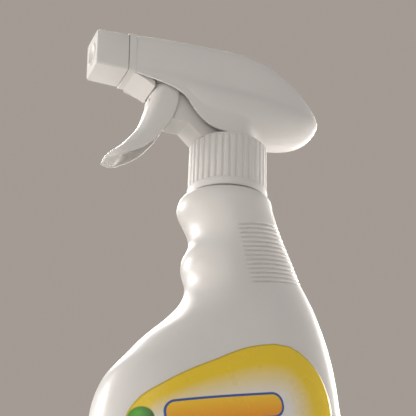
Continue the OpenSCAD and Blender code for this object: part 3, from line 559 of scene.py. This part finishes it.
# Bands: middle x and z, slant, width, height, upper and lower fill, border. Spots: middle, radii, fill, rim
YELLOW, PALE = (0.86, 0.61, 0.018), (0.80, 0.785, 0.76)
AMBER, ORANGE, BLUE = (0.93, 0.58, 0.03), (0.85, 0.30, 0.012), (0.03, 0.09, 0.34)
LEAF, DEEP_LEAF = (0.10, 0.42, 0.04), (0.015, 0.13, 0.015)
LIME, PANEL = (0.45, 0.62, 0.08), (0.82, 0.82, 0.79)
FRONT_BANDS = [(-10.4, 99.4, 9.8, 44.0, 7.6, AMBER, ORANGE, BLUE),
               (-8.2, 87.0, 9.8, 46.0, 4.2, (0.10, 0.25, 0.62), BLUE, None)]
FRONT_SPOTS = [(-40.2, 93.6, 4.4, 4.4, LEAF, DEEP_LEAF), (-36.2, 86.5, 3.0, 3.0, (0.30, 0.55, 0.05), LEAF),
               (-40.6, 81.0, 2.0, 2.0, LIME, LEAF),
               (-14.0, 52.0, 10.0, 10.0, (0.90, 0.62, 0.02), (0.80, 0.42, 0.02)),
               (3.0, 60.0, 8.5, 8.5, LEAF, DEEP_LEAF), (8.0, 43.5, 6.0, 6.0, LIME, LEAF)]
BACK_BANDS = [(-6.0, 106.0, 9.8, 26.0, 5.2, AMBER, ORANGE, BLUE),
              (-4.0, 33.0, 0.0, 52.0, 1.6, LEAF, LEAF, None),
              (-4.0, 66.0, 0.0, 56.0, 44.0, PANEL, PANEL, (0.42, 0.60, 0.10))]
BACK_SPOTS = [(-32.0, 98.0, 3.0, 3.0, LEAF, DEEP_LEAF)]


# Shroud: stations along the head and a fan round the tail, on smooth curves through the CAD's own keys.
# Each key has the half width and height at the side, then the reach and height at the tail
PROFILE = [[11.5, 27, 11.6, 26.8], [11.5, 34.6, 13.5, 28.3], [12, 36.6, 21, 29.2],
           [12.8, 38.6, 29.7, 31], [13.2, 41.2, 36.2, 34.3], [13, 43.9, 40.6, 38.8],
           [12, 46.8, 43.3, 43.4], [10.8, 49.3, 44.1, 47.3], [10.4, 52, 42.6, 50.6],
           [10.2, 56.5, 38.7, 55.8], [10, 61.5, 32.8, 61.6], [9.5, 65.9, 26.2, 66.2],
           [8.1, 69.3, 18.4, 69.8], [4.8, 71.0, 10, 70.9], [0, 71.5, 0, 71.5]]
CREASE, LAST = 7, 14
FLANGE_X = -47.2
RIM_LINE = [[FLANGE_X, 46.9], [-44, 46.3], [-40, 45.5], [-36, 44.75], [-32, 43.9], [-29, 42.9],
            [-26.5, 41.6], [-24.5, 40.2], [-23, 38.4], [-21.6, 36.3], [-20.2, 34.3], [-18.2, 32.1],
            [-15.5, 29.9], [-12.2, 28.2], [-8.5, 27.3], [-4, 27], [0, 27]]
SIDE_NARROW = [[FLANGE_X, 1.7], [-40, 0.9], [-30, 0.35], [-15, 0], [0, 0]]
SHROUD_WALL, SHROUD_LIP, TAIL_STEP = 1.05, 0.34, 0.34


def straight_half(x, rim):
    """Half section of the head at x, from its rim up to the mirror plane."""
    rows = []
    sink = 0.07 * x
    crease = PROFILE[CREASE][1] + sink * 0.5
    room = (crease - rim) / (PROFILE[CREASE][1] - PROFILE[0][1])
    for k, key in enumerate(PROFILE):
        share = (key[1] - PROFILE[0][1]) / (PROFILE[CREASE][1] - PROFILE[0][1])
        line = mix(PROFILE[0][0], PROFILE[CREASE][0], share)
        if k < CREASE:
            w = mix(line, PROFILE[CREASE][0], 1 - room) + (key[0] - line) * room * room
            z = mix(rim, crease, share)
        else:
            w = key[0]
            z = key[1] + sink * mix(0.5, 1, (k - CREASE) / (LAST - CREASE))
        rows.append([w - (0 if k == LAST else float(smooth(SIDE_NARROW, x))), z])
    return np.array(rows)


def surface_normals(grid):
    """Outward normals of a grid of points, rows along the head and columns from the near rim up."""
    du = np.gradient(grid, axis=0)
    dv = np.gradient(grid, axis=1)
    n = np.cross(dv, du)
    size = np.linalg.norm(n, axis=2, keepdims=True)
    bad = size[..., 0] < 1e-9
    n = n / np.maximum(size, 1e-9)
    middle = np.array([0, 0, 45.0 if grid[..., 2].max() < 100 else COLLAR_Z + 45])
    flip = np.sum(n * (grid - middle), axis=2) < 0
    if np.mean(flip[~bad]) > 0.5:
        n = -n
    n[bad] = [0, 0, 1]
    return n


def make_shroud():
    keys = np.array(PROFILE)
    side, tail = keys[:, :2], keys[:, 2:]
    steps = sum(np.linalg.norm(np.diff(half, axis=0), axis=1) * 0.5 for half in (side, tail))
    knots = np.concatenate([[0], np.cumsum(steps)])
    full = np.concatenate([knots, 2 * knots[-1] - knots[-2::-1]])
    cols = 61
    ts = np.linspace(0, knots[-1], cols)

    def dense(half, calm=0.0):
        """A smooth curve through the half section; calm turns it to one that can't overshoot."""
        mirrored = half[-2::-1] * [-1, 1]
        free = spline(full, np.concatenate([half, mirrored]), ts)
        tame = np.stack([smooth(np.stack([knots, half[:, k]], -1), ts) for k in (0, 1)], -1)
        return mix(free, tame, calm)

    xs = np.concatenate([np.linspace(FLANGE_X, -30, 22)[:-1], np.linspace(-30, -8, 44)[:-1],
                         np.linspace(-8, 0, 10)])
    rims = softened(RIM_LINE, xs, 1.2)
    stations = []
    for x, rim in zip(xs, rims):
        room = (47.5 - rim) / 22
        p = dense(straight_half(x, rim), 1 - float(ease(0.05, 0.35, room)))
        stations.append(np.stack([0 * p[:, 0] + x, -p[:, 0], p[:, 1]], -1))
    a, b = dense(side), dense(tail)
    for turn in np.linspace(np.pi / 2, 0, 42)[1:]:
        c, s = math.cos(turn), math.sin(turn)
        stations.append(np.stack([b[:, 0] * c ** (2 / 2.2), -a[:, 0] * s ** (2 / 2.2),
                                  mix(a[:, 1], b[:, 1], c * c)], -1))
    near = np.array(stations)
    # Ease the joins between stations along the head, with the mirror plane and the front edge held
    for _ in range(14):
        avg = near.copy()
        avg[1:-1] = (near[:-2] + 2 * near[1:-1] + near[2:]) / 4
        hold = near[:, -1].copy()
        near = np.where(np.abs(near[:, :, :1]) < 13, avg, near)
        near[:, -1, 1] = hold[:, 1]
        near[len(xs):, -1] = near[len(xs) - 1, -1]
    # The front edge lies along the flange, which leans with the nozzle's droop
    near[0, :, 0] += (56.5 - near[0, :, 2]) * math.tan(math.radians(2.5)) + 0.05
    near[..., 2] += COLLAR_Z
    # A crisp step above the bulge, only round the tail
    along = np.zeros(len(near))
    along[len(xs):] = ease(0.35, 0.8, np.linspace(0, 1, len(near) - len(xs)))
    across = ts - knots[CREASE]
    step = TAIL_STEP * np.exp(-((across - 0.9) / 0.75) ** 2) * np.where(across < 0.9, 1, 0.75)
    outward = surface_normals(near)
    near = near - outward * (along[:, None] * step[None, :])[..., None]
    near[:, -1, 1] = 0
    near[-1, :, 1] = 0
    full_out = np.concatenate([near, (near * [1, -1, 1])[:, -2::-1]], 1)
    normals = surface_normals(near)
    full_n = np.concatenate([normals, (normals * [1, -1, 1])[:, -2::-1]], 1)
    full_in = full_out - full_n * SHROUD_WALL
    full_in[-1, :, 1] = 0

    def lip(k, beyond):
        """Rounded rim from the outer to the inner wall at column k, led on from the column beyond."""
        a, b = full_out[:, k], full_in[:, k]
        middle = (a + b) / 2
        down = a - full_out[:, beyond]
        down /= np.maximum(np.linalg.norm(down, axis=1, keepdims=True), 1e-9)
        return [middle + (a - middle) * math.cos(t) + down * SHROUD_LIP * math.sin(t)
                for t in np.linspace(0, math.pi, 8)[1:-1]]

    rows, span = full_out.shape[:2]
    far_lip = np.stack(lip(span - 1, span - 4), 1)
    near_lip = np.stack(lip(0, 3)[::-1], 1)
    loop = np.concatenate([full_out, far_lip, full_in[:, ::-1], near_lip], 1)
    cols_all = loop.shape[1]
    faces = grid_faces(rows, cols_all, True, 0, True)
    inner_at = span + far_lip.shape[1]
    for j in range(span - 1):
        faces.append([j, j + 1, inner_at + span - 2 - j, inner_at + span - 1 - j])
    obj = new_object("shroud_moulded", loop.reshape(-1, 3), faces)
    bm = bmesh.new()
    bm.from_mesh(obj.data)
    bmesh.ops.remove_doubles(bm, verts=bm.verts, dist=0.012 * MM)
    bmesh.ops.recalc_face_normals(bm, faces=bm.faces)
    bm.to_mesh(obj.data)
    bm.free()
    sharp_by_angle(obj, 60)
    obj.data.materials.append(MATS["head"])
    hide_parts("shroud")
    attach(obj, "sprayer")


# Trigger: a channel with a rounded front, drawn from the CAD's own front and back lines
FRONT_LINE = [[6.4, -55.9], [7.4, -55.7], [8.8, -54.9], [11.5, -52], [14, -49.5], [17.4, -46.9],
              [20.6, -44.6], [24.5, -42.3], [28.5, -40.6], [33.7, -39.1], [39, -37.9], [45.4, -36.85]]
BACK_LINE = [[6.4, -55.9], [6.5, -54.6], [7.2, -51.6], [9.3, -47.6], [12, -43.2], [15.2, -39.2],
             [19.6, -35.4], [23.4, -32.8], [27.1, -30.6], [32, -28.6], [38, -27.2], [45.4, -27.35]]
TRIGGER_HALF, TRIGGER_WALL, TRIGGER_TIP_X = 8.2, 1.3, -56.0
CHANNEL_TOP = 45.05


def by_length(line, shares):
    """Points of a line of [height, x] keys at shares of its length, on a smooth curve."""
    keys = np.array(line, float)
    knots = np.concatenate([[0], np.cumsum(np.linalg.norm(np.diff(keys, axis=0), axis=1))])
    fine = spline(knots, keys, np.linspace(0, knots[-1], 600))
    run = np.concatenate([[0], np.cumsum(np.linalg.norm(np.diff(fine, axis=0), axis=1))])
    return np.stack([np.interp(shares * run[-1], run, fine[:, k]) for k in (1, 0)], -1)


def make_trigger():
    wall = TRIGGER_WALL
    shares = np.concatenate([0.14 * np.linspace(0, 1, 25)[1:] ** 2, np.linspace(0.14, 1, 80)[1:]])
    front, back = by_length(FRONT_LINE, shares), by_length(BACK_LINE, shares)
    rings = []
    for f, b in zip(front, back):
        deep = max(np.linalg.norm(b - f), 0.4)
        n = (b - f) / deep
        reach = max(f[0] - TRIGGER_TIP_X, 0.05)
        hw = TRIGGER_HALF if reach > 6 else 2.2 + math.sqrt(max(36 - (6 - reach) ** 2, 0.3))
        rx, ry = min(4.6, 0.72 * deep), min(5.4, 0.85 * hw)
        solid = 1 - float(ease(1.5, 9.0, reach))
        front_wall = mix(wall + 0.4, deep * 0.97, solid) if deep > wall + 0.4 else deep * 0.97
        inner_hw = max(hw - wall * float(mix(0.5, 1, ease(0, 3, reach))), 0.3)
        # Inner corners are tight behind the upper front, where the pump comes close at full pull
        tight = float(ease(11, 14, reach))
        ix = mix(max(min(rx - wall, deep - front_wall), 0.02), 0.9, tight)
        iy = mix(max(min(ry - wall, inner_hw * 0.8), 0.1), 1.2, tight)
        rise = 0.42 * float(ease(0, 4, reach))
        outer = [(deep, -hw), (mix(deep, rx, 0.33), -hw), (mix(deep, rx, 0.66), -hw)]
        outer += [(rx - rx * math.sin(t), -(hw - ry) - ry * math.cos(t))
                  for t in np.linspace(0, math.pi / 2, 11)]
        outer += [(-0.12, -(hw - ry) * 0.5), (-0.16, 0)]
        path = outer + [(a, -c) for a, c in outer[-2::-1]]
        mid, rim = (hw + inner_hw) / 2, (hw - inner_hw) / 2
        lip = [(deep + rise * math.sin(t), mid + rim * math.cos(t))
               for t in np.linspace(0, math.pi, 7)[1:-1]]
        inner = [(deep, inner_hw), (mix(deep, front_wall + ix, 0.5), inner_hw)]
        inner += [(front_wall + ix - ix * math.sin(t), (inner_hw - iy) + iy * math.cos(t))
                  for t in np.linspace(0, math.pi / 2, 7)]
        inner += [(front_wall, 0)]
        inner_all = inner + [(a, -c) for a, c in inner[-2::-1]]
        lip_back = [(a, -c) for a, c in lip[::-1]]
        ring = path + lip + inner_all + lip_back
        rings.append([[f[0] + n[0] * a, c, f[1] + n[1] * a + COLLAR_Z] for a, c in ring])
    rings = np.array(rings)
    rows, cols = rings.shape[:2]
    tip = rings[0].mean(axis=0)
    points = np.concatenate([rings.reshape(-1, 3), [tip]])
    faces = grid_faces(rows, cols)
    faces += [[rows * cols, (j + 1) % cols, j] for j in range(cols)]
    faces += [[(rows - 1) * cols + j for j in range(cols)]]
    obj = new_object("trigger_moulded", points, faces)
    # Arms and hinge eyes above the channel keep the CAD's form, with rounded edges
    arms = rounded_copy("trigger", 0.4, name="trigger_arms")
    bm = bmesh.new()
    bm.from_mesh(arms.data)
    bmesh.ops.bisect_plane(bm, geom=bm.verts[:] + bm.edges[:] + bm.faces[:], dist=1e-7,
                           plane_co=(0, 0, (COLLAR_Z + CHANNEL_TOP) * MM), plane_no=(0, 0, 1),
                           clear_inner=True)
    bm.to_mesh(arms.data)
    bm.free()
    bm = bmesh.new()
    bm.from_mesh(obj.data)
    bmesh.ops.recalc_face_normals(bm, faces=bm.faces)
    bm.to_mesh(obj.data)
    bm.free()
    sharp_by_angle(obj, 55)
    # The pad behind the channel's front, which pushes the piston
    corners = [[x, y, z + COLLAR_Z] for x in (-38.6, -36.3) for y in (-3, 3) for z in (33.4, 39.4)]
    sides = [[0, 1, 3, 2], [4, 6, 7, 5], [0, 4, 5, 1], [2, 3, 7, 6], [0, 2, 6, 4], [1, 5, 7, 3]]
    pad = new_object("trigger_pad", corners, sides, flat=True)
    mod = pad.modifiers.new("round", "BEVEL")
    mod.width = 0.4 * MM
    mod.segments = 3
    for piece in (obj, arms, pad):
        piece.data.materials.append(MATS["head"])
        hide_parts("trigger")
        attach(piece, "trigger")


# Collar: rounded ribs between narrow grooves that end square on the smooth band
def make_collar():
    ribs, per = 36, 14
    cols = ribs * per
    band_r, rib_r, band_h, tall = 17.2, 16.9, 3.5, 24.1
    angles = np.linspace(0, 2 * np.pi, cols, endpoint=False)
    phase = np.abs(((np.arange(cols) / per) % 1) - 0.5) * 2
    # Depth of a groove across one rib: flat land, round shoulder, narrow floor at phase 1
    cut = 0.62 * ease(0.52, 0.90, phase) + 0.10 * phase ** 2
    levels = [(16.9, 0.0, 0), (band_r, 0.3, 0), (band_r, band_h - 0.35, 0), (band_r - 0.1, band_h - 0.1, 0),
              (band_r - 0.3, band_h, 0), (rib_r, band_h + 0.02, 0), (rib_r, band_h + 0.06, 1)]
    levels += [(rib_r, z, 1) for z in np.linspace(band_h + 0.5, tall - 1.2, 8)]
    levels += [(rib_r - 0.05, tall - 0.8, 1), (rib_r - 0.25, tall - 0.35, 0.95),
               (rib_r - 0.6, tall - 0.08, 0.7), (rib_r - 1.0, tall, 0.25), (rib_r - 1.5, tall, 0),
               (9.5, tall, 0), (9.25, tall - 0.15, 0), (9.2, tall - 0.35, 0), (9.2, tall - 1.6, 0),
               (9.4, tall - 1.8, 0), (14.2, tall - 1.8, 0), (14.2, 0.3, 0), (14.5, 0.0, 0)]
    rows = []
    for r, z, share in levels:
        rr = r - share * cut
        rows.append(np.stack([rr * np.cos(angles), rr * np.sin(angles), 0 * angles + COLLAR_Z + z], -1))
    count = len(rows)
    points = np.concatenate(rows)
    faces = grid_faces(count, cols)
    last = (count - 1) * cols
    faces += [[last + j, last + (j + 1) % cols, (j + 1) % cols, j] for j in range(cols)]
    obj = new_object("collar_ribbed", points, faces)
    sharp_by_angle(obj, 45)
    obj.data.materials.append(MATS["collar"])
    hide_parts("collar")
    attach(obj, "collar")


make_bottle()
make_label("front_label_film", 1, label_material("front_print", FRONT_BANDS, FRONT_SPOTS), "front_label")
make_label("back_label_film", -1, label_material("back_print", BACK_BANDS, BACK_SPOTS), "back_label")
make_shroud()
make_collar()
make_trigger()
for node, body, width, key, slot in [
        ("nozzle_cap", "nozzle", 0.32, "head", "head_plastic"),
        ("pump_body", "sprayer", 0.2, "head", "head_plastic")]:
    piece = rounded_copy(node, width)
    piece.data.materials.append(MATS[key])
    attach(piece, body)

# The inner pieces keep the CAD's meshes
for node, key in [("gasket", "foam"), ("tube_retainer", "inner"), ("dip_tube", "tube"),
                  ("inlet_ball", "steel"), ("piston", "inner"), ("piston_seal", "seal"),
                  ("return_spring", "steel"), ("outlet_valve", "valve"), ("swirl_insert", "inner")]:
    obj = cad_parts[node]
    if obj.material_slots:
        for s in obj.material_slots:
            s.material = MATS[key]
    else:
        obj.data.materials.append(MATS[key])


# Stage: pale floor, pale surroundings, soft lamps that the camera doesn't see
def make_stage():
    bpy.ops.mesh.primitive_circle_add(vertices=96, radius=6, fill_type="NGON", location=(0, 0, -0.0005))
    floor = bpy.context.object
    floor.name = "floor"
    mat, tree, shader, coords = tree_of("floor_pale")
    grain = noise(tree, coords, 30, 3)
    tree.links.new(blend_colours(tree, spread(tree, grain, 0, 1), (0.72, 0.71, 0.69), (0.69, 0.68, 0.66)),
                   shader.inputs["Base Color"])
    shader.inputs["Roughness"].default_value = 0.8
    floor.data.materials.append(mat)

    world = bpy.data.worlds.new("surround")
    bpy.context.scene.world = world
    world.use_nodes = True
    tree = world.node_tree
    tree.nodes.clear()
    out = tree.nodes.new("ShaderNodeOutputWorld")
    lit = tree.nodes.new("ShaderNodeBackground")
    lit.inputs["Color"].default_value = (1.0, 0.96, 0.93, 1)
    lit.inputs["Strength"].default_value = 0.38
    seen = tree.nodes.new("ShaderNodeBackground")
    seen.inputs["Color"].default_value = (0.37, 0.33, 0.295, 1)
    seen.inputs["Strength"].default_value = 1.0
    path = tree.nodes.new("ShaderNodeLightPath")
    mixer = tree.nodes.new("ShaderNodeMixShader")
    tree.links.new(path.outputs["Is Camera Ray"], mixer.inputs["Fac"])
    tree.links.new(lit.outputs[0], mixer.inputs[1])
    tree.links.new(seen.outputs[0], mixer.inputs[2])
    tree.links.new(mixer.outputs[0], out.inputs["Surface"])

    def lamp(name, place, target, size, power, tint=(1, 0.955, 0.925)):
        data = bpy.data.lights.new(name, "AREA")
        data.shape = "RECTANGLE"
        data.size, data.size_y = size
        data.energy = power
        data.color = tint
        obj = bpy.data.objects.new(name, data)
        bpy.context.scene.collection.objects.link(obj)
        obj.location = place
        obj.rotation_euler = (Vector(target) - Vector(place)).to_track_quat("-Z", "Y").to_euler()
        obj.visible_camera = False
        return obj

    middle = (0, 0, 0.17)
    lamp("front", (-0.95, -1.15, 0.75), middle, (0.8, 0.8), 1.5)
    lamp("back_left", (-1.2, 1.4, 1.0), middle, (0.7, 0.9), 5.0)
    lamp("back_right", (1.5, 1.05, 1.0), middle, (0.7, 0.9), 5.5)
    lamp("top", (0.2, 0.9, 1.2), middle, (0.6, 0.6), 2.0)
    # Fills under the head aren't mirrored in it, and the rim lamps are only mirrored
    for name, place, power in (("below_left", (-0.36, 0.10, 0.10), 0.6),
                               ("below_right", (0.42, 0.10, 0.11), 1.9),
                               ("below_front", (-0.28, -0.5, 0.12), 0.5)):
        under_head = (math.copysign(0.02, place[0]), 0, 0.25)
        lamp(name, place, under_head, (0.16, 0.16), power).visible_glossy = False
    for name, place in (("rim_left", (-0.75, 0.85, 0.35)), ("rim_right", (0.95, 0.65, 0.35)),
                        ("rim_top", (0.1, 0.95, 0.9))):
        lamp(name, place, middle, (0.4, 0.6), 9.0).visible_diffuse = False


make_stage()
bpy.context.view_layer.update()
